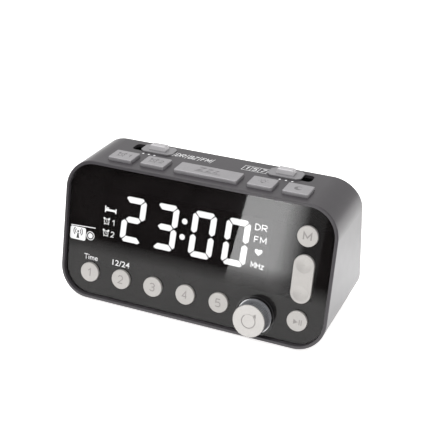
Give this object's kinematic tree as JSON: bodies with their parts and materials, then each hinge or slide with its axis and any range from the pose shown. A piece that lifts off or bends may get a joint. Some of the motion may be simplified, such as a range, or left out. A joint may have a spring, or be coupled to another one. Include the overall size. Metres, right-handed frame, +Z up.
{
  "type": "clock radio",
  "caption": "Bedside clock radio with a rounded wedge case, smoked front with glowing clock digits, round preset buttons, rocker, knurled tuning knob, top keys and slide selectors.",
  "frame": {"origin": "centre of the bounding box at the floor, under the feet", "axes": "+Z up, the front with the display faces -Y, +X to the right of someone facing it"},
  "size_m": [0.16, 0.0783, 0.0843],
  "materials": {
    "case_black": "satin",
    "frame_black": "gloss",
    "lens_smoke": "gloss",
    "display_black": "matte",
    "led_lit": "lit",
    "led_dark": "unlit",
    "icon_film": "matte",
    "board_green": "solder mask",
    "switch_black": "matte",
    "button_silver": "silver paint, satin",
    "key_grey": "silver-grey, fine grain",
    "knob_dark": "dark plating",
    "ring_chrome": "polished",
    "tin_grey": "tinned",
    "nylon_white": "matte",
    "steel_bright": "machined",
    "cover_black": "fine grain",
    "screw_black": "black oxide",
    "screw_zinc": "zinc",
    "foam_black": "foam",
    "cone_paper": "pressed paper",
    "magnet_grey": "sintered",
    "cell_wrap": "printed wrap",
    "spring_nickel": "nickel",
    "part_black": "moulded",
    "rubber_black": "matte",
    "ribbon_grey": "flexible",
    "lead_red": "insulation"
  },
  "bodies": {
    "case": {"outer_case": "case_black", "front_frame": "frame_black", "front_lens": "lens_smoke", "display_housing": "display_black", "bars_lit": "led_lit", "bars_dark": "led_dark", "icon_windows": "icon_film", "front_board": "board_green", "front_switches": "switch_black", "knob_collar": "frame_black", "encoder_body": "tin_grey", "slide_switches": "tin_grey", "top_board": "board_green", "top_switches": "switch_black", "rear_cover": "cover_black", "rear_screws": "screw_black", "frame_screws": "screw_zinc", "board_screws": "screw_zinc", "speaker_gasket": "foam_black", "speaker_basket": "tin_grey", "speaker_cone": "cone_paper", "speaker_magnet": "magnet_grey", "speaker_screws": "screw_zinc", "battery_tray": "cover_black", "backup_cells": "cell_wrap", "battery_contacts": "spring_nickel", "main_board": "board_green", "tuner_shield": "tin_grey", "board_parts": "part_black", "dc_jack": "part_black", "phone_jack": "part_black", "usb_shell": "tin_grey", "usb_tongue": "nylon_white", "aerial_grommet": "rubber_black", "rubber_feet": "rubber_black", "front_ribbon": "ribbon_grey", "top_ribbon": "ribbon_grey", "internal_leads": "lead_red"},
    "preset_1_button": {"preset_1": "button_silver"},
    "preset_2_button": {"preset_2": "button_silver"},
    "preset_3_button": {"preset_3": "button_silver"},
    "preset_4_button": {"preset_4": "button_silver"},
    "preset_5_button": {"preset_5": "button_silver"},
    "mode_push": {"mode_button": "button_silver"},
    "play_push": {"play_button": "button_silver"},
    "rocker": {"volume_rocker": "button_silver"},
    "rotor": {"encoder_rotor": "nylon_white"},
    "tuning_knob": {"encoder_shaft": "steel_bright", "knob_barrel": "knob_dark", "knob_ring": "ring_chrome", "knob_cap": "button_silver"},
    "alarm_1_key_cap": {"alarm_1_key": "key_grey"},
    "alarm_2_key_cap": {"alarm_2_key": "key_grey"},
    "snooze_key_cap": {"snooze_key": "key_grey"},
    "light_key_cap": {"light_key": "key_grey"},
    "sleep_key_cap": {"sleep_key": "key_grey"},
    "band_slider": {"band_selector": "key_grey"},
    "timer_slider": {"timer_selector": "key_grey"},
    "bay_door": {"battery_door": "cover_black"}
  },
  "joints": [
    {"name": "preset_1_press", "type": "slide", "parent": "case", "child": "preset_1_button", "axis": [0, 0.9829, -0.184], "range_m": [0, 0.0006], "stiffness_N_per_m": 900},
    {"name": "preset_2_press", "type": "slide", "parent": "case", "child": "preset_2_button", "axis": [0, 0.9829, -0.184], "range_m": [0, 0.0006], "stiffness_N_per_m": 900},
    {"name": "preset_3_press", "type": "slide", "parent": "case", "child": "preset_3_button", "axis": [0, 0.9829, -0.184], "range_m": [0, 0.0006], "stiffness_N_per_m": 900},
    {"name": "preset_4_press", "type": "slide", "parent": "case", "child": "preset_4_button", "axis": [0, 0.9829, -0.184], "range_m": [0, 0.0006], "stiffness_N_per_m": 900},
    {"name": "preset_5_press", "type": "slide", "parent": "case", "child": "preset_5_button", "axis": [0, 0.9829, -0.184], "range_m": [0, 0.0006], "stiffness_N_per_m": 900},
    {"name": "mode_press", "type": "slide", "parent": "case", "child": "mode_push", "axis": [0, 0.9829, -0.184], "range_m": [0, 0.0006], "stiffness_N_per_m": 900},
    {"name": "play_press", "type": "slide", "parent": "case", "child": "play_push", "axis": [0, 0.9829, -0.184], "range_m": [0, 0.0006], "stiffness_N_per_m": 900},
    {"name": "volume_rock", "type": "hinge", "parent": "case", "child": "rocker", "pos_m": [0.0634, -0.0167, 0.03844], "axis": [1, 0, 0], "range_deg": [-2.2, 2.2], "stiffness_Nm_per_rad": 0.05},
    {"name": "tuning_turn", "type": "hinge", "parent": "case", "child": "rotor", "pos_m": [0.0395, -0.02884, 0.01378], "axis": [0, -0.9829, 0.184], "continuous": true},
    {"name": "tuning_press", "type": "slide", "parent": "rotor", "child": "tuning_knob", "axis": [0, 0.9829, -0.184], "range_m": [0, 0.0005], "stiffness_N_per_m": 900},
    {"name": "alarm_1_press", "type": "slide", "parent": "case", "child": "alarm_1_key_cap", "axis": [0, 0, -1], "range_m": [0, 0.0006], "stiffness_N_per_m": 900},
    {"name": "alarm_2_press", "type": "slide", "parent": "case", "child": "alarm_2_key_cap", "axis": [0, 0, -1], "range_m": [0, 0.0006], "stiffness_N_per_m": 900},
    {"name": "snooze_press", "type": "slide", "parent": "case", "child": "snooze_key_cap", "axis": [0, 0, -1], "range_m": [0, 0.0006], "stiffness_N_per_m": 900},
    {"name": "light_press", "type": "slide", "parent": "case", "child": "light_key_cap", "axis": [0, 0, -1], "range_m": [0, 0.0006], "stiffness_N_per_m": 900},
    {"name": "sleep_press", "type": "slide", "parent": "case", "child": "sleep_key_cap", "axis": [0, 0, -1], "range_m": [0, 0.0006], "stiffness_N_per_m": 900},
    {"name": "band_slide", "type": "slide", "parent": "case", "child": "band_slider", "axis": [1, 0, 0], "range_m": [-0.007, 0]},
    {"name": "timer_slide", "type": "slide", "parent": "case", "child": "timer_slider", "axis": [1, 0, 0], "range_m": [0, 0.007]},
    {"name": "door_swing", "type": "hinge", "parent": "case", "child": "bay_door", "pos_m": [-0.033, 0.03137, 0.03359], "axis": [-1, 0, 0], "range_deg": [0, 100]}
  ]
}
